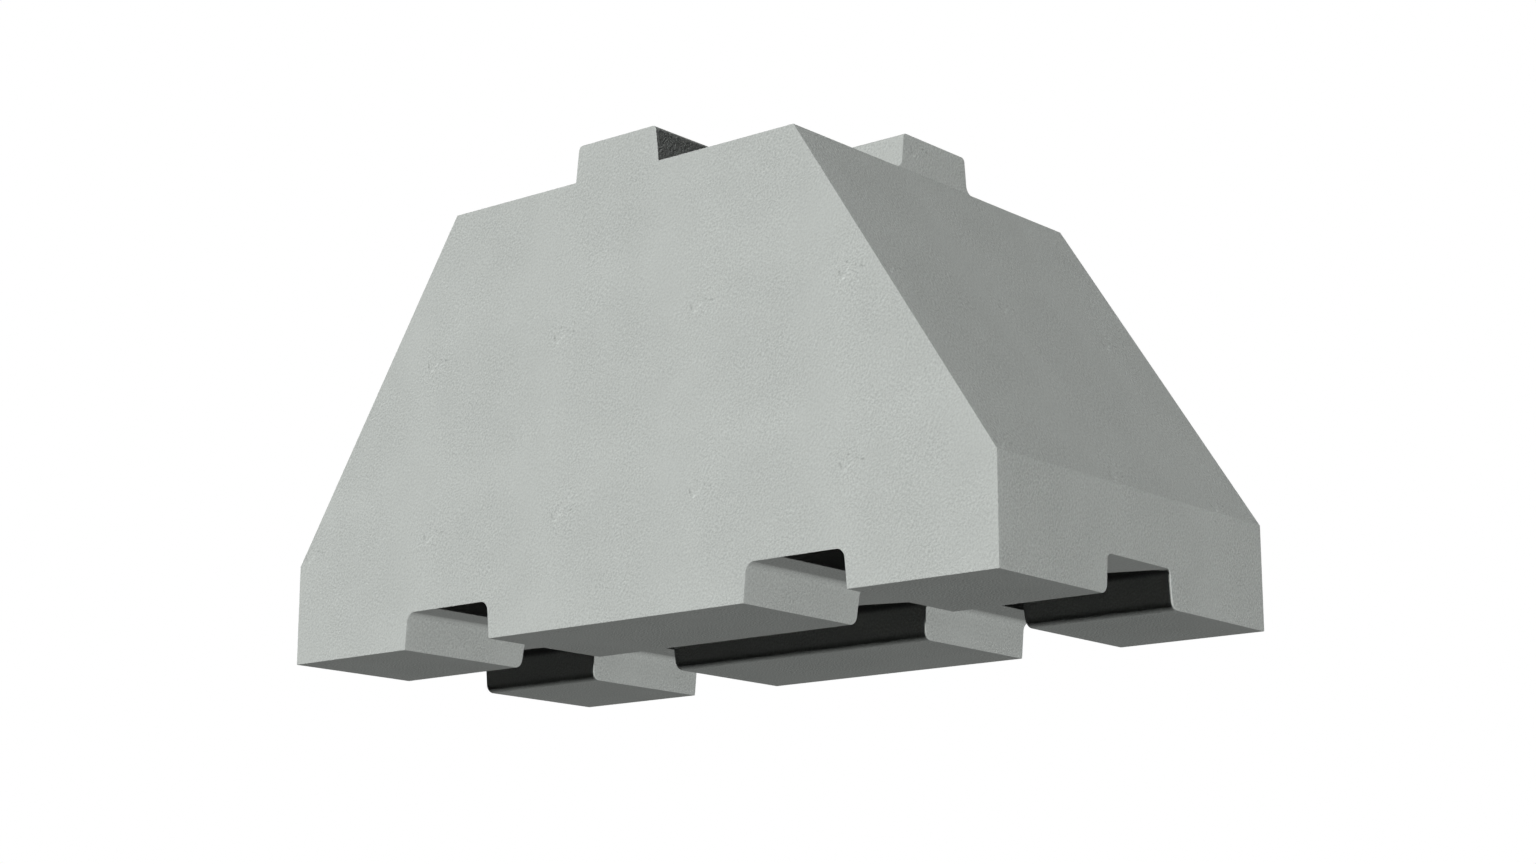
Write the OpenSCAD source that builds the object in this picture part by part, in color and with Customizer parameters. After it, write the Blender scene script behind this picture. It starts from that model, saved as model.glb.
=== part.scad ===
// Interlocking concrete block, end piece with raked ends.
//
// Cast in one piece. The body is a constant section across the wall: plumb bands at the foot
// of both ends, and ends that lean in from there to the shoulder. A ridge runs across the top
// and another along it, and the underside has a channel for each, so that the next course drops
// over the ridges and can be set straight on or turned by a quarter.
//
// Frame: X along the wall, Y across it, Z up. Origin at the middle of the underside, on the floor.
// Millimetres and degrees.

/* [Body] */
// Length along the wall, over the plumb bands at both ends
block_length = 1200; // [900:50:2400]
// Width across the wall, face to face
block_width = 600; // [300:50:900]
// Height from the feet to the shoulder that carries the next course
body_height = 600; // [300:50:900]
// Height of the plumb band at the foot of each end
end_band_height = 140; // [80:10:240]
// How far each end leans in between the band and the shoulder
end_rake = 300; // [50:10:330]

/* [Ridges] */
// Width of a ridge at its foot
ridge_width = 148; // [100:1:200]
// Height of a ridge above the shoulder
ridge_height = 50; // [30:1:80]
// Draft of a ridge's flanks, so that the mould lifts off
ridge_draft = 6; // [2:0.5:12]
// Radius along the top edges of a ridge
crown_radius = 7; // [3:0.5:20]
// Radius of the fillet where the lengthwise ridge meets the shoulder
foot_radius = 13; // [4:0.5:25]

/* [Channels] */
// Pitch of the cross channels, and of the cross ridges on a longer top
cell_pitch = 600; // [450:10:900]
// Clearance on each side of the lengthwise ridge in its channel
side_clearance = 1; // [0.5:0.5:10]
// Clearance on each side of the cross ridge in its channel, to take up length along the wall
end_clearance = 6; // [0.5:0.5:15]
// Clearance over the crown of a ridge, so that the shoulders carry the load
crown_clearance = 0.5; // [0:0.5:10]
// Draft of the channels' flanks, less than the ridges', so that the blocks centre themselves
channel_draft = 5; // [1:0.5:10]
// Radius in the ceiling corners of the lengthwise channel
long_ceiling_radius = 8; // [3:0.5:15]
// Radius in the ceiling corners of the cross channels
cross_ceiling_radius = 13; // [3:0.5:20]

/* [Hidden] */

CONCRETE = [0.73, 0.745, 0.73];

// Largest turn from one point of a rounded corner to the next, in degrees
ARC_STEP = 7.5;

// How far a cutter runs past the face that it opens, and how deep a ridge is rooted in the body
OVERRUN = 5;

top_length = block_length - 2 * end_rake;
channel_depth = ridge_height + crown_clearance;
long_channel_width = ridge_width + 2 * side_clearance;
cross_channel_width = ridge_width + 2 * end_clearance;

// Middles of the cells that fit along a run, spread evenly about the block's own middle
function cell_middles(run) =
    let (cells = max(1, round(run / cell_pitch)))
    [for (i = [0 : cells - 1]) (i - (cells - 1) / 2) * cell_pitch];

// Points of an arc about a middle, from one angle to another, either way round
function arc(middle, radius, from, to) =
    let (steps = ceil(abs(to - from) / ARC_STEP))
    [for (i = [0 : steps])
        let (angle = from + (to - from) * i / steps)
        middle + radius * [cos(angle), sin(angle)]];

function reversed(points) = [for (i = [len(points) - 1 : -1 : 0]) points[i]];

// Right-hand flank of a ridge that stands on the X axis, from its foot up to its crown. The flank
// leans in by the draft. Both arcs are tangent to it, one to the crown's top, one to the shoulder.
function flank(width, height, draft, crown, foot) =
    let (
        crown_x = width / 2 - crown / cos(draft) - (height - crown) * tan(draft),
        foot_x = width / 2 + foot / cos(draft) - foot * tan(draft),
        fillet = foot > 0 ? arc([foot_x, foot], foot, 270, 180 + draft) : [[width / 2, 0]]
    )
    concat([[foot_x, -OVERRUN]], fillet, arc([crown_x, height - crown], crown, draft, 90));

// Section of a ridge with its root in the body. The same section, a little larger, cuts the
// channel for it, where the crown becomes the ceiling and the foot becomes the mouth.
module ridge_section(width, height, draft, crown, foot = 0) {
    right = flank(width, height, draft, crown, foot);
    left = [for (point = reversed(right)) [-point.x, point.y]];
    polygon(concat(right, left));
}

// Side view of the block: plumb bands, raked ends, cross ridges and cross channels
module side_section() {
    difference() {
        union() {
            polygon([[-block_length / 2, 0], [block_length / 2, 0],
                     [block_length / 2, end_band_height], [top_length / 2, body_height],
                     [-top_length / 2, body_height], [-block_length / 2, end_band_height]]);
            for (x = cell_middles(top_length))
                translate([x, body_height])
                    ridge_section(ridge_width, ridge_height, ridge_draft, crown_radius);
        }
        for (x = cell_middles(block_length))
            translate([x, 0])
                ridge_section(cross_channel_width, channel_depth, channel_draft, cross_ceiling_radius);
    }
}

// Extrudes a side view across the wall
module across_wall(width) {
    rotate([90, 0, 0])
        linear_extrude(height = width, center = true)
            children();
}

// Extrudes an end view along the wall
module along_wall(length) {
    rotate([90, 0, 90])
        linear_extrude(height = length, center = true)
            children();
}

// Lengthwise ridge, flush with the top edges of the raked ends
module long_ridge() {
    translate([0, 0, body_height])
        along_wall(top_length)
            ridge_section(ridge_width, ridge_height, ridge_draft, crown_radius, foot_radius);
}

// Lengthwise channel, whose mouth is rounded like the foot fillet that it drops over
module long_channel() {
    along_wall(block_length + 2 * OVERRUN)
        ridge_section(long_channel_width, channel_depth, channel_draft, long_ceiling_radius, foot_radius);
}

module block() {
    color(CONCRETE)
        difference() {
            union() {
                across_wall(block_width)
                    side_section();
                long_ridge();
            }
            long_channel();
        }
}

block();
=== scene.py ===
import math
import random

import bmesh
import bpy
from mathutils import Matrix, Vector, geometry
from mathutils.bvhtree import BVHTree
from mathutils.noise import noise


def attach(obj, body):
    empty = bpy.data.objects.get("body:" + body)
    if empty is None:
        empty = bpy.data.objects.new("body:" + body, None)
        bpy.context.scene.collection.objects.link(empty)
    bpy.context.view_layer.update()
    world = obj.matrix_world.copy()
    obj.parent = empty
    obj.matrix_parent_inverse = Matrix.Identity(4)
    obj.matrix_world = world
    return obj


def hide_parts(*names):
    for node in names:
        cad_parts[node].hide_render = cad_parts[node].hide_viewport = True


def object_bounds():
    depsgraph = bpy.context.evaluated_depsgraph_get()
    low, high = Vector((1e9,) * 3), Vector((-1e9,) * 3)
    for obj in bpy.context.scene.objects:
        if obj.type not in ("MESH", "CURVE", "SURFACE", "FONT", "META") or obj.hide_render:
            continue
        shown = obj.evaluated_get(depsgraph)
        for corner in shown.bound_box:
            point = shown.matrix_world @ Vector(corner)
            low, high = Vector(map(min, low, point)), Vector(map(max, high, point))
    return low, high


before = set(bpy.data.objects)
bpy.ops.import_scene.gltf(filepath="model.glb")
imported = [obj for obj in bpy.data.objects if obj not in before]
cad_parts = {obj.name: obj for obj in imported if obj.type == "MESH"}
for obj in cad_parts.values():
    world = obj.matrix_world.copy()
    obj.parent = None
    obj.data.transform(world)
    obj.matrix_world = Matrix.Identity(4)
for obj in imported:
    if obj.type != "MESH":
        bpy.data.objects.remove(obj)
cad_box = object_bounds()


# ---- The cast block ----------------------------------------------------------------------------
# One piece of dense grey concrete, poured into a steel mould and struck from it whole, so
# nothing is fixed to it. The mould's corners leave crisp arrises with barely a millimetre of
# ease, and the mould's lining leaves a fine leathery grain on its faces.

FLAT_ANGLE = math.radians(0.6)
ARRIS_ANGLE = math.radians(30)
ARRIS_EASE = 0.0009
SAME_CORNER = 1e-6

casting = bmesh.new()
casting.from_mesh(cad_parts["block"].data)
bmesh.ops.remove_doubles(casting, verts=casting.verts, dist=SAME_CORNER)
bmesh.ops.dissolve_limit(casting, angle_limit=FLAT_ANGLE, verts=casting.verts, edges=casting.edges)

arrises = [edge for edge in casting.edges if edge.is_convex and edge.calc_face_angle() > ARRIS_ANGLE]
bmesh.ops.bevel(
    casting,
    geom=arrises,
    offset=ARRIS_EASE,
    offset_type="OFFSET",
    segments=2,
    profile=0.5,
    affect="EDGES",
    clamp_overlap=False,
)
smooth_faces = BVHTree.FromBMesh(casting)
smooth_mesh = bpy.data.meshes.new("smooth_block")
casting.to_mesh(smooth_mesh)

# Its large faces are cut into small squares, so that they can be bent a little, and the squares
# are put in order by where they lie, so that the casting comes out the same every time.
SQUARE = 0.0095
STEEPEST = 0.7
ON_LINE = 1e-7
PLACE_DIGITS = 5


def rule_squares(faces, axis, low, high, strips):
    """Cuts faces into strips of one width across an axis, the middle line first and then each half."""
    if strips < 2:
        return
    half = strips // 2
    middle = low + (high - low) * half / strips
    line = Vector((0, 0, 0))
    line[axis] = middle
    across = Vector((0, 0, 0))
    across[axis] = 1
    edges = dict.fromkeys(edge for face in faces for edge in face.edges)
    verts = dict.fromkeys(vert for face in faces for vert in face.verts)
    cut = bmesh.ops.bisect_plane(
        casting, geom=[*verts, *edges, *faces], dist=ON_LINE, plane_co=line, plane_no=across
    )
    pieces = [item for item in cut["geom"] if isinstance(item, bmesh.types.BMFace)]
    below = [face for face in pieces if face.calc_center_median()[axis] < middle]
    above = [face for face in pieces if face.calc_center_median()[axis] >= middle]
    rule_squares(below, axis, low, middle, half)
    rule_squares(above, axis, middle, high, strips - half)


def place_of(face):
    """Where a face's middle is, rounded off."""
    return tuple(round(part, PLACE_DIGITS) for part in face.calc_center_median())


for axis in range(3):
    low = cad_box[0][axis]
    high = cad_box[1][axis]
    crossing = [face for face in casting.faces if abs(face.normal[axis]) < STEEPEST]
    rule_squares(crossing, axis, low, high, round((high - low) / SQUARE))
for index, face in enumerate(sorted(casting.faces, key=place_of)):
    face.index = index
casting.faces.sort()

block_mesh = bpy.data.meshes.new("cast_block")
casting.to_mesh(block_mesh)
casting.free()
block = bpy.data.objects.new("cast_block", block_mesh)
bpy.context.scene.collection.objects.link(block)

# Small air bubbles stay against the mould while the concrete is poured. Each leaves a round
# pin hole, a millimetre or two across, once the mould is off.
PIN_HOLES = 300
PIN_RADIUS = (0.0005, 0.0011)
PIN_STRETCH = (0.8, 1.25)
PIN_DEPTH = 0.4
PIN_CLEARANCE = 0.004
CLEAR_SPOTS = 8
PLAIN_GAP = 1e-5
PLAIN_FACING = 0.999

chance = random.Random(11)
ball = bmesh.new()
bmesh.ops.create_icosphere(ball, subdivisions=2, radius=1)
ball_points = [vert.co.copy() for vert in ball.verts]
ball_faces = [[vert.index for vert in face.verts] for face in ball.faces]
ball.free()
bubble_points = []
bubble_faces = []


def bubble(centre, out, across, along, turn):
    """A ball half sunk in the face, `across` by `along`, turned in the face and nearly as deep as wide."""
    right = out.orthogonal().normalized()
    turned = Matrix.Rotation(turn, 3, out) @ right
    deep = out * (across + along) * PIN_DEPTH
    shape = Matrix((turned * across, out.cross(turned) * along, deep)).transposed()
    first = len(bubble_points)
    bubble_points.extend(shape @ point + centre for point in ball_points)
    bubble_faces.extend([first + index for index in face] for face in ball_faces)


def lies_plain(centre, out):
    """True if the face is plain all round the centre, with no arris or round near it."""
    right = out.orthogonal().normalized()
    for step in range(CLEAR_SPOTS):
        turned = Matrix.Rotation(math.tau * step / CLEAR_SPOTS, 3, out) @ right
        _, facing, _, gap = smooth_faces.find_nearest(centre + turned * PIN_CLEARANCE)
        if gap > PLAIN_GAP or facing.dot(out) < PLAIN_FACING:
            return False
    return True


# Where the bubbles sit is drawn on the block as it was before it was cut into squares.
smooth_mesh.calc_loop_triangles()
corners = [
    [smooth_mesh.vertices[index].co.copy() for index in triangle.vertices]
    for triangle in smooth_mesh.loop_triangles
]
bpy.data.meshes.remove(smooth_mesh)
areas = [geometry.area_tri(*triangle) for triangle in corners]
for a, b, c in chance.choices(corners, weights=areas, k=PIN_HOLES):
    out = (b - a).cross(c - a).normalized()
    first_cut, second_cut = sorted((chance.random(), chance.random()))
    centre = a * first_cut + b * (second_cut - first_cut) + c * (1 - second_cut)
    size = chance.uniform(*PIN_RADIUS)
    stretch = chance.uniform(*PIN_STRETCH)
    turn = chance.uniform(0, math.pi)
    if lies_plain(centre, out):
        bubble(centre, out, size * stretch, size / stretch, turn)

bubble_mesh = bpy.data.meshes.new("bubbles")
bubble_mesh.from_pydata(bubble_points, [], bubble_faces)
bubbles = bpy.data.objects.new("bubbles", bubble_mesh)
bpy.context.scene.collection.objects.link(bubbles)
hollow = block.modifiers.new("bubbles", "BOOLEAN")
hollow.operation = "DIFFERENCE"
hollow.solver = "MANIFOLD"
hollow.object = bubbles
holed_mesh = bpy.data.meshes.new_from_object(block.evaluated_get(bpy.context.evaluated_depsgraph_get()))
block.modifiers.clear()
block.data = holed_mesh
bpy.data.objects.remove(bubbles)
bpy.data.meshes.remove(block_mesh)

# The cutting can leave crumbs: corners that lie in one place, faces folded back on themselves,
# and chips that hang on nothing. They are cleaned off, so that the casting is one closed skin.
CRUMB = 0.00001

surface = bmesh.new()
surface.from_mesh(holed_mesh)
many_sided = [face for face in surface.faces if len(face.verts) > 4]
bmesh.ops.triangulate(surface, faces=many_sided)
bmesh.ops.remove_doubles(surface, verts=surface.verts, dist=CRUMB)
on_corners = {}
for face in surface.faces:
    on_corners.setdefault(frozenset(face.verts), []).append(face)
folded = [face for twins in on_corners.values() if len(twins) > 1 for face in twins]
bmesh.ops.delete(surface, geom=folded, context="FACES")

lowest = min(surface.verts, key=lambda vert: vert.co.z)
joined = {lowest}
waiting = [lowest]
while waiting:
    vert = waiting.pop()
    for edge in vert.link_edges:
        beyond = edge.other_vert(vert)
        if beyond not in joined:
            joined.add(beyond)
            waiting.append(beyond)
chips = [vert for vert in surface.verts if vert not in joined]
bmesh.ops.delete(surface, geom=chips, context="VERTS")

# The mould's plates spring a little between their ribs, so no face is dead flat. The concrete
# only ever lies inside the true shape. Each pair is how many swells to a metre, and how deep.
WANDER = ((4.5, 0.00016), (17.0, 0.00005))

for vert in surface.verts:
    drop = sum((noise(vert.co * pitch) + 1) / 2 * depth for pitch, depth in WANDER)
    sprung = vert.co - vert.normal * drop
    for axis in range(3):
        sprung[axis] = min(max(sprung[axis], cad_box[0][axis]), cad_box[1][axis])
    vert.co = sprung
surface.to_mesh(holed_mesh)
surface.free()
holed_mesh.shade_smooth()
holed_mesh.set_sharp_from_angle(angle=ARRIS_ANGLE)
true_faces = block.modifiers.new("true_faces", "WEIGHTED_NORMAL")
true_faces.mode = "FACE_AREA"
true_faces.keep_sharp = True
true_mesh = bpy.data.meshes.new_from_object(block.evaluated_get(bpy.context.evaluated_depsgraph_get()))
block.modifiers.clear()
block.data = true_mesh
bpy.data.meshes.remove(holed_mesh)

# The concrete: grey cement paste, dead matt, that took the skin of the mould's lining.
CONCRETE = (0.491, 0.515, 0.4945)
GLOSS = 0.02
ROUGHNESS = (0.97, 0.86)
RELIEF_EDGE = (-0.3, 0.3)

# The lining is squares pressed from one pattern, laid from one corner of the block.
LINING_PITCH = 0.240
LINING_CORNER = (-0.102, -0.046, 0.151)

# Its grains: how many to a metre, how they are turned and pulled about by a slow drift, how
# much they lighten and darken the paste, which way and how strongly a painted light and painted
# shade fall on the sides of each lump, and how far they stand out of it.
GRAINS = 315.0
GRAIN_TURN = math.radians(30)
DRIFT_PITCH = 40.0
DRIFT_PULL = (0.005, 0.005, 0)
PAINTED_LIGHT_SIDE_STEP = (-0.0008, 0.0002, 0)
GRAIN_TONE = 0.34
PAINTED_LIGHT_AND_SHADE_TONE = 0.27
GRAIN_RELIEF = 0.0008

# The grain is a little stronger on the ends, in its relief and in its colour; the stronger colour
# there is painted shade for the light that grazes the ends. It stands out less on the level faces.
END_EXTRA_PAINTED_SHADE = 0.22
LEVEL_RELIEF = 0.6

# The core of the lengthwise channel is bare steel, so its walls took hardly any relief.
CORE_REACH = 0.085
CORE_HEIGHT = 0.052
CORE_RELIEF = 0.25

# The grain is stronger in some patches than in others, and weaker in a calm strip of each square.
PATCHES = 16.0
PATCH_EDGE = (0.35, 0.65)
PATCH_STRENGTH = (-0.15, 0.15)
CALM_PLACE = (-0.038, 0.045, 0)
CALM_REACH = (1.0, 0.35, 1.0)
CALM_EDGE = (0.015, 0.075)
CALM_STRENGTH = (0.70, 1.02)

# Each square has one darker round, and clouds of tone drift over the whole block.
ROUND_PLACE = (0.112, -0.055, 0)
ROUND_EDGE = (0.070, 0.118)
ROUND_TONE = (-0.012, 0.012)
CLOUDS = 20.0
CLOUD_TONE = 0.09

# Each square also has the pattern's one fault, a faint tick with specks beside it. Its strokes:
# middle, half size, turn in degrees, and how much lighter or darker. The darker and lighter
# strokes are painted shade and painted light: the shaded and lit walls of the dent, and the shade
# in the small pits of the specks. The same strokes also give it a little relief, and the grain is
# rougher there.
FAULT_STROKES = (
    ((-0.0058, 0.0000), (0.0030, 0.0078), 16, -0.23),
    ((0.0004, -0.0072), (0.0056, 0.0026), 14, 0.26),
    ((0.0085, -0.0010), (0.0100, 0.0022), 32, 0.16),
    ((0.0060, 0.0124), (0.0034, 0.0024), 15, -0.20),
    ((0.0185, 0.0066), (0.0036, 0.0026), 10, -0.24),
    ((0.0278, 0.0038), (0.0050, 0.0026), 6, -0.24),
)
FAULT_RELIEF = 0.7
FAULT_EDGE = (0.010, 0.045)
FAULT_EXTRA = 0.35


def new_group(name, inputs, outputs):
    """An empty node group with its named sockets, and its two end nodes."""
    group = bpy.data.node_groups.new(name, "ShaderNodeTree")
    for label, kind in inputs:
        group.interface.new_socket(label, in_out="INPUT", socket_type=kind)
    for label, kind in outputs:
        group.interface.new_socket(label, in_out="OUTPUT", socket_type=kind)
    return group, group.nodes.new("NodeGroupInput"), group.nodes.new("NodeGroupOutput")


def add(tree, kind, settings, inputs):
    """A node with its settings, whose inputs take numbers or another node's outputs."""
    node = tree.nodes.new(kind)
    for name, value in settings.items():
        setattr(node, name, value)
    for socket, value in inputs.items():
        if isinstance(value, bpy.types.NodeSocket):
            tree.links.new(value, node.inputs[socket])
        else:
            node.inputs[socket].default_value = value
    return node


def maths(tree, operation, a, b=0.0, c=0.0):
    """The result of one sum on up to three numbers."""
    return add(tree, "ShaderNodeMath", {"operation": operation}, {0: a, 1: b, 2: c}).outputs[0]


def on_vectors(tree, operation, a, b, c=(0, 0, 0)):
    """The result of one sum on up to three vectors."""
    return add(tree, "ShaderNodeVectorMath", {"operation": operation}, {0: a, 1: b, 2: c}).outputs[0]


def how_far(tree, vector):
    """The length of a vector."""
    return add(tree, "ShaderNodeVectorMath", {"operation": "LENGTH"}, {0: vector}).outputs["Value"]


def ramp(tree, value, reach=(0.0, 1.0), span=(0.0, 1.0), smooth=False):
    """A value that goes from one end of `span` to the other while `value` crosses `reach`."""
    settings = {"interpolation_type": "SMOOTHSTEP"} if smooth else {}
    ends = {"From Min": reach[0], "From Max": reach[1], "To Min": span[0], "To Max": span[1]}
    return add(tree, "ShaderNodeMapRange", settings, {"Value": value, **ends}).outputs["Result"]


def place_group(tree, group, inputs):
    """A node group placed in a tree, as its outputs."""
    return add(tree, "ShaderNodeGroup", {"node_tree": group}, inputs).outputs


# Where a point is on its sheet of lining: across and up for the sides and ends, and the two
# level directions for the top, the underside and the ceilings of the channels.
sheet, given, result = new_group(
    "lining_sheet",
    (("Position", "NodeSocketVector"), ("Normal", "NodeSocketVector")),
    (("Vector", "NodeSocketVector"), ("Level", "NodeSocketFloat"), ("End", "NodeSocketFloat")),
)
unsigned = on_vectors(sheet, "ABSOLUTE", given.outputs["Normal"], (0, 0, 0))
tilt = add(sheet, "ShaderNodeSeparateXYZ", {}, {0: unsigned}).outputs
spot = add(sheet, "ShaderNodeSeparateXYZ", {}, {0: given.outputs["Position"]}).outputs
faces_end = maths(sheet, "GREATER_THAN", tilt[0], maths(sheet, "MAXIMUM", tilt[1], tilt[2]))
lies_level = maths(sheet, "GREATER_THAN", tilt[2], maths(sheet, "MAXIMUM", tilt[0], tilt[1]))
across = add(sheet, "ShaderNodeMix", {}, {"Factor": faces_end, "A": spot[0], "B": spot[1]}).outputs[0]
upward = add(sheet, "ShaderNodeMix", {}, {"Factor": lies_level, "A": spot[2], "B": spot[1]}).outputs[0]
laid = add(sheet, "ShaderNodeCombineXYZ", {}, {0: across, 1: upward}).outputs[0]
sheet.links.new(laid, result.inputs["Vector"])
sheet.links.new(lies_level, result.inputs["Level"])
sheet.links.new(faces_end, result.inputs["End"])

# One square of the lining, measured from `Middle`: it comes back at every pitch.
square, given, result = new_group(
    "lining_square",
    (("Vector", "NodeSocketVector"), ("Middle", "NodeSocketVector")),
    (("Vector", "NodeSocketVector"),),
)
half = LINING_PITCH / 2
from_middle = on_vectors(square, "SUBTRACT", given.outputs["Vector"], given.outputs["Middle"])
wrapped = on_vectors(square, "WRAP", from_middle, (half, half, 1), (-half, -half, -1))
square.links.new(wrapped, result.inputs["Vector"])

# The fault, as how much lighter or darker it is there: painted light and painted shade of its
# dent, which also shape its relief.
fault, given, result = new_group(
    "lining_fault", (("Vector", "NodeSocketVector"),), (("Relief_and_shade", "NodeSocketFloat"),)
)
fault_painted_light_and_shade = 0.0
for middle, size, degrees, stroke_light_and_shade in FAULT_STROKES:
    stroke = add(
        fault,
        "ShaderNodeMapping",
        {"vector_type": "TEXTURE"},
        {
            "Vector": given.outputs["Vector"],
            "Location": (*middle, 0),
            "Rotation": (0, 0, math.radians(degrees)),
            "Scale": (*size, 1),
        },
    )
    away = how_far(fault, stroke.outputs[0])
    drawn = ramp(fault, away, span=(stroke_light_and_shade, 0.0), smooth=True)
    fault_painted_light_and_shade = maths(fault, "ADD", drawn, fault_painted_light_and_shade)
fault.links.new(fault_painted_light_and_shade, result.inputs["Relief_and_shade"])

# The grain on that sheet. Height is the relief of its small lumps, round 0. The other output is
# painted light and shade: how far a point is on the lit or the shaded side of its lump, for a
# light from one fixed side, to be painted into the colour.
grain, given, result = new_group(
    "lining_grain",
    (("Vector", "NodeSocketVector"), ("Grains", "NodeSocketFloat")),
    (("Height", "NodeSocketFloat"), ("Painted_light_and_shade", "NodeSocketFloat")),
)
on_sheet = given.outputs["Vector"]
flat = {"noise_dimensions": "2D"}
drift = add(grain, "ShaderNodeTexNoise", flat, {"Vector": on_sheet, "Scale": DRIFT_PITCH, "Detail": 0.0})
turned = add(
    grain, "ShaderNodeVectorRotate", {"rotation_type": "Z_AXIS"}, {"Vector": on_sheet, "Angle": GRAIN_TURN}
).outputs[0]
drifted = on_vectors(grain, "MULTIPLY_ADD", drift.outputs["Color"], DRIFT_PULL, turned)
# The lumps again, a step aside, so that each lump gets a painted lit side and a painted shaded side.
beside = on_vectors(grain, "ADD", drifted, PAINTED_LIGHT_SIDE_STEP)
lumps, shifted = [
    add(
        grain,
        "ShaderNodeTexNoise",
        flat,
        {"Vector": where, "Scale": given.outputs["Grains"], "Detail": 1.0, "Roughness": 0.5},
    ).outputs["Fac"]
    for where in (drifted, beside)
]
grain.links.new(maths(grain, "SUBTRACT", lumps, 0.5), result.inputs["Height"])
grain.links.new(maths(grain, "SUBTRACT", lumps, shifted), result.inputs["Painted_light_and_shade"])

# The material, and in it first the lining as it is laid on the block.
concrete = bpy.data.materials.new("grey_concrete")
concrete.use_nodes = True
tree = concrete.node_tree
shader = tree.nodes["Principled BSDF"]
shader.inputs["Specular IOR Level"].default_value = GLOSS
place = add(tree, "ShaderNodeTexCoord", {}, {}).outputs["Object"]
facing = add(tree, "ShaderNodeNewGeometry", {}, {}).outputs["Normal"]
from_corner = on_vectors(tree, "SUBTRACT", place, LINING_CORNER)
lining_on = place_group(tree, sheet, {"Position": from_corner, "Normal": facing})
lining = lining_on["Vector"]
by_fault = place_group(tree, square, {"Vector": lining, "Middle": (0, 0, 0)})["Vector"]
by_round = place_group(tree, square, {"Vector": lining, "Middle": ROUND_PLACE})["Vector"]
by_calm = place_group(tree, square, {"Vector": lining, "Middle": CALM_PLACE})["Vector"]
skin = place_group(tree, grain, {"Vector": lining, "Grains": GRAINS})
tick = place_group(tree, fault, {"Vector": by_fault})["Relief_and_shade"]

# How strong the grain is from place to place.
patches = add(tree, "ShaderNodeTexNoise", {}, {"Vector": place, "Scale": PATCHES, "Detail": 1.0})
uneven = ramp(tree, patches.outputs["Fac"], PATCH_EDGE, PATCH_STRENGTH)
from_calm = how_far(tree, on_vectors(tree, "MULTIPLY", by_calm, CALM_REACH))
strength = maths(tree, "ADD", ramp(tree, from_calm, CALM_EDGE, CALM_STRENGTH, smooth=True), uneven)
# On the ends the grain's colour is stronger, as painted shade for the grazing light there, and its relief
# is stronger too.
on_ends = maths(tree, "MULTIPLY", strength, END_EXTRA_PAINTED_SHADE)
strength = maths(tree, "MULTIPLY_ADD", on_ends, lining_on["End"], strength)
roughened = ramp(tree, how_far(tree, by_fault), FAULT_EDGE, (FAULT_EXTRA, 0.0), smooth=True)
strength = maths(tree, "ADD", strength, roughened)

# Its colour: grain, painted light and shade on the sides of the lumps, clouds, rounds, and the
# tick's painted shade and light.
rounds = ramp(tree, how_far(tree, by_round), ROUND_EDGE, ROUND_TONE, smooth=True)
clouds = add(
    tree, "ShaderNodeTexNoise", {}, {"Vector": place, "Scale": CLOUDS, "Detail": 2.0, "Roughness": 0.6}
).outputs["Fac"]
lumpy = maths(tree, "MULTIPLY", skin["Height"], GRAIN_TONE)
# Painted light and shade: each lump lighter on one side and darker on the other.
lumpy = maths(tree, "MULTIPLY_ADD", skin["Painted_light_and_shade"], PAINTED_LIGHT_AND_SHADE_TONE, lumpy)
tone = maths(tree, "MULTIPLY_ADD", lumpy, strength, 1.0)
tone = maths(tree, "MULTIPLY_ADD", maths(tree, "SUBTRACT", clouds, 0.5), CLOUD_TONE, tone)
# The tick's painted shade and painted light go into the colour here.
tone = maths(tree, "ADD", maths(tree, "ADD", tone, rounds), tick)
tinted = add(tree, "ShaderNodeVectorMath", {"operation": "SCALE"}, {0: CONCRETE, "Scale": tone})
tree.links.new(tinted.outputs[0], shader.inputs["Base Color"])

# Its roughness: the tops of the grains are a little smoother than the hollows.
height = maths(tree, "ADD", skin["Height"], tick)
tree.links.new(ramp(tree, height, RELIEF_EDGE, ROUGHNESS), shader.inputs["Roughness"])

# Its relief: less on level faces, and less again in the lengthwise channel.
pressed = ramp(tree, lining_on["Level"], span=(1.0, LEVEL_RELIEF))
spot = add(tree, "ShaderNodeSeparateXYZ", {}, {0: place}).outputs
by_middle = maths(tree, "LESS_THAN", maths(tree, "ABSOLUTE", spot[1]), CORE_REACH)
on_core = maths(tree, "MULTIPLY", by_middle, maths(tree, "LESS_THAN", spot[2], CORE_HEIGHT))
on_steel = ramp(tree, on_core, span=(1.0, CORE_RELIEF))
raised = maths(tree, "MULTIPLY_ADD", skin["Height"], strength, maths(tree, "MULTIPLY", tick, FAULT_RELIEF))
raised = maths(tree, "MULTIPLY", maths(tree, "MULTIPLY", raised, pressed), on_steel)
bump = add(tree, "ShaderNodeBump", {}, {"Height": raised, "Distance": GRAIN_RELIEF, "Strength": 1.0})
tree.links.new(bump.outputs["Normal"], shader.inputs["Normal"])
true_mesh.materials.clear()
true_mesh.materials.append(concrete)

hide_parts("block")
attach(block, "root")
block.visible_diffuse = False


# ---- Floor and backdrop ------------------------------------------------------------------------
# A wide sheet of pale paper that the block stands on. It fades into the white round it, it lets
# a view from beneath through, and it throws no shadow on the block's underside.

FLOOR_RADIUS = 9.0
FLOOR_SIDES = 96
FLOOR_DROP = 0.0008
FLOOR_FADE = (1.2, 3.2)
PAPER = (0.86, 0.86, 0.86, 1)
PAPER_LIFT = 0.35

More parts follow.
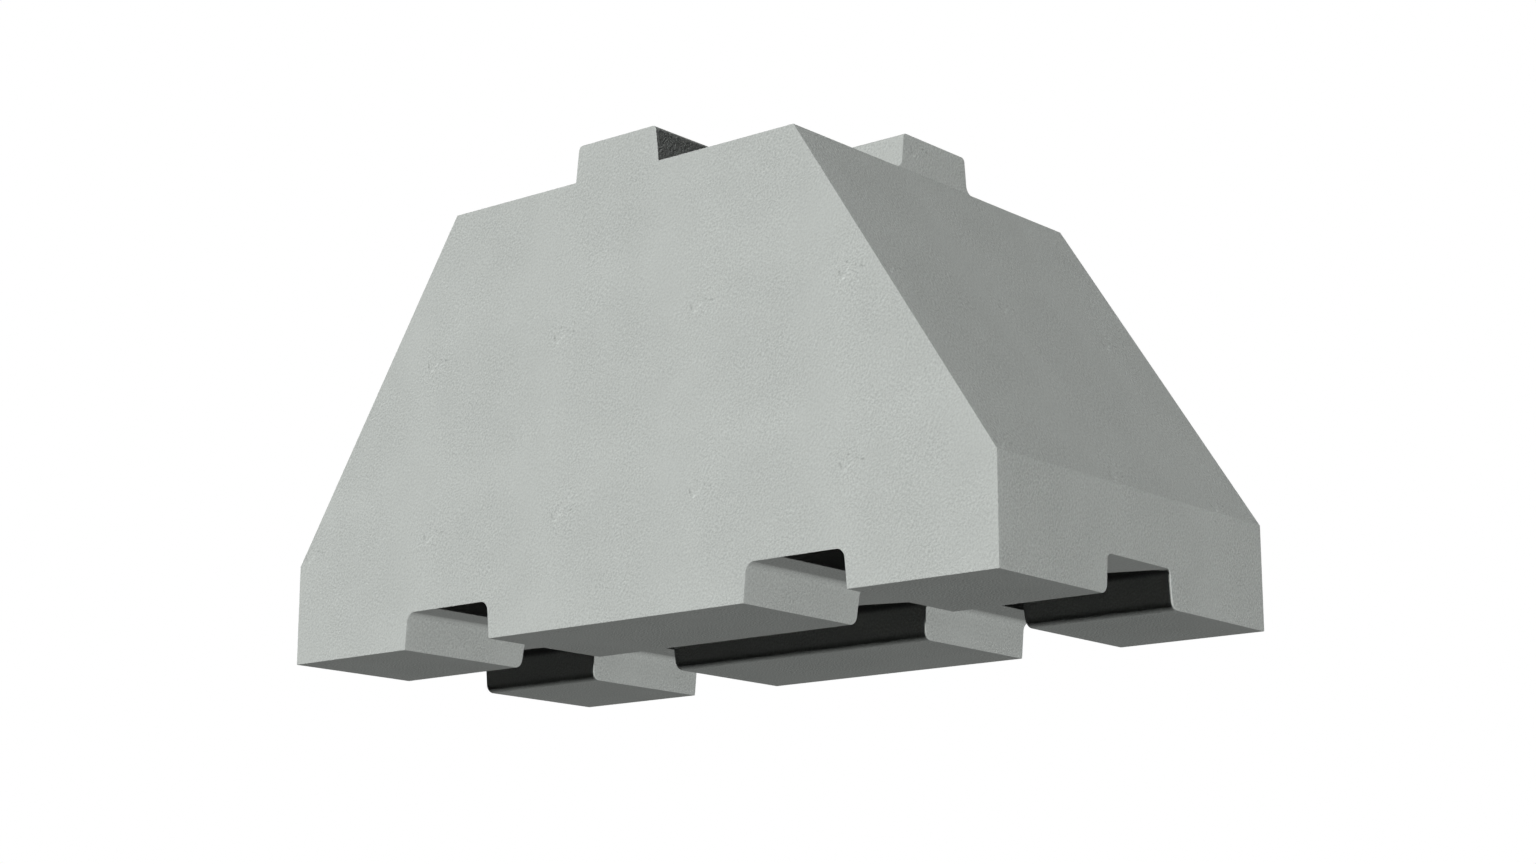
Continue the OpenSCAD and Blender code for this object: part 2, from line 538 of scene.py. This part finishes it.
paper_sheet = bmesh.new()
bmesh.ops.create_circle(paper_sheet, cap_ends=True, segments=FLOOR_SIDES, radius=FLOOR_RADIUS)
for vert in paper_sheet.verts:
    vert.co.z = cad_box[0].z - FLOOR_DROP
floor_mesh = bpy.data.meshes.new("floor")
paper_sheet.to_mesh(floor_mesh)
paper_sheet.free()
floor = bpy.data.objects.new("floor", floor_mesh)
bpy.context.scene.collection.objects.link(floor)
floor.visible_shadow = False
floor.visible_diffuse = False

paper = bpy.data.materials.new("floor_paper")
paper.use_nodes = True
floor_mesh.materials.append(paper)
tree = paper.node_tree
tree.nodes.clear()
place = add(tree, "ShaderNodeNewGeometry", {}, {}).outputs
fade = ramp(tree, how_far(tree, place["Position"]), FLOOR_FADE, smooth=True)
matt = add(tree, "ShaderNodeBsdfDiffuse", {}, {"Color": PAPER}).outputs[0]
lift = add(tree, "ShaderNodeEmission", {}, {"Strength": PAPER_LIFT}).outputs[0]
white = add(tree, "ShaderNodeEmission", {}, {"Strength": 1.0}).outputs[0]
rays = add(tree, "ShaderNodeLightPath", {}, {}).outputs
clear = add(tree, "ShaderNodeBsdfTransparent", {}, {}).outputs[0]
lifted = add(tree, "ShaderNodeAddShader", {}, {0: matt, 1: lift}).outputs[0]
faded = add(tree, "ShaderNodeMixShader", {}, {0: fade, 1: lifted, 2: white}).outputs[0]
seen = add(tree, "ShaderNodeMixShader", {}, {0: rays["Is Camera Ray"], 1: matt, 2: faded}).outputs[0]
sided = add(tree, "ShaderNodeMixShader", {}, {0: place["Backfacing"], 1: seen, 2: clear}).outputs[0]
add(tree, "ShaderNodeOutputMaterial", {}, {"Surface": sided})

# The studio's white walls. They can be seen, and hardly light the block.
WALL_LIGHT = 0.007

world = bpy.data.worlds.new("studio_white")
world.use_nodes = True
bpy.context.scene.world = world
tree = world.node_tree
rays = add(tree, "ShaderNodeLightPath", {}, {}).outputs
shown = maths(tree, "MAXIMUM", rays["Is Camera Ray"], rays["Is Glossy Ray"])
shown = maths(tree, "MAXIMUM", shown, rays["Is Transmission Ray"])
background = tree.nodes["Background"]
background.inputs["Color"].default_value = (1, 1, 1, 1)
tree.links.new(ramp(tree, shown, span=(WALL_LIGHT, 1.0)), background.inputs["Strength"])


# ---- Lamps -------------------------------------------------------------------------------------
# A key from the front, a weaker lamp low on the right that lights the underside, one behind on
# the left and a soft one overhead. Two faint ones that throw no shadow keep the recesses from
# going black, and the floor has a broad soft lamp of its own.

LAMP_DISTANCE = 6


def lamp(name, lit, toward, spread, shadow=True):
    """A far lamp that lights one object from `toward`, as strong as that is long, `spread` degrees wide."""
    light = bpy.data.lights.new(name, "SUN")
    light.energy = math.pi * Vector(toward).length
    light.angle = math.radians(spread)
    light.use_shadow = shadow
    light.cycles.use_multiple_importance_sampling = False
    holder = bpy.data.objects.new(name, light)
    holder.rotation_euler = Vector(toward).to_track_quat("Z", "Y").to_euler()
    holder.location = Vector(toward).normalized() * LAMP_DISTANCE
    bpy.context.scene.collection.objects.link(holder)
    only = bpy.data.collections.new(name + "_only")
    only.objects.link(lit)
    holder.light_linking.receiver_collection = only


lamp("key_lamp", block, (0.015, -0.947, 0.065), 1.0)
lamp("low_lamp", block, (0.50, 0.196, -0.2535), 1.0)
lamp("back_lamp", block, (-0.32, 0.60, 0.12), 4.0)
lamp("top_lamp", block, (0.0, 0.0, 0.225), 10.0)
lamp("front_fill", block, (0.05, -0.030, 0.0385), 2.0, shadow=False)
lamp("back_fill", block, (-0.05, 0.030, 0.0), 2.0, shadow=False)
lamp("floor_lamp", floor, (0.06, -0.20, 0.72), 45.0)


# ---- Camera ------------------------------------------------------------------------------------
# It stands to the right of the front, below the foot of the block, and looks up at it from a
# little under four metres away.

VIEW_TURN = math.radians(39.57)
VIEW_RISE = math.radians(-13.044)
VIEW_DISTANCE = 3.822
VIEW_AIM = (cad_box[0] + cad_box[1]) / 2 + Vector((0.0033, 0.0096, -0.0228))
LENS = 65.0
FILM_WIDTH = 36.0

camera = bpy.data.cameras.new("camera")
camera.lens = LENS
camera.sensor_width = FILM_WIDTH
eye = bpy.data.objects.new("camera", camera)
back = Vector((
    math.sin(VIEW_TURN) * math.cos(VIEW_RISE),
    -math.cos(VIEW_TURN) * math.cos(VIEW_RISE),
    math.sin(VIEW_RISE),
))
eye.location = VIEW_AIM + back * VIEW_DISTANCE
eye.rotation_euler = back.to_track_quat("Z", "Y").to_euler()
bpy.context.scene.collection.objects.link(eye)
bpy.context.scene.camera = eye
bpy.context.scene.view_settings.view_transform = "Standard"
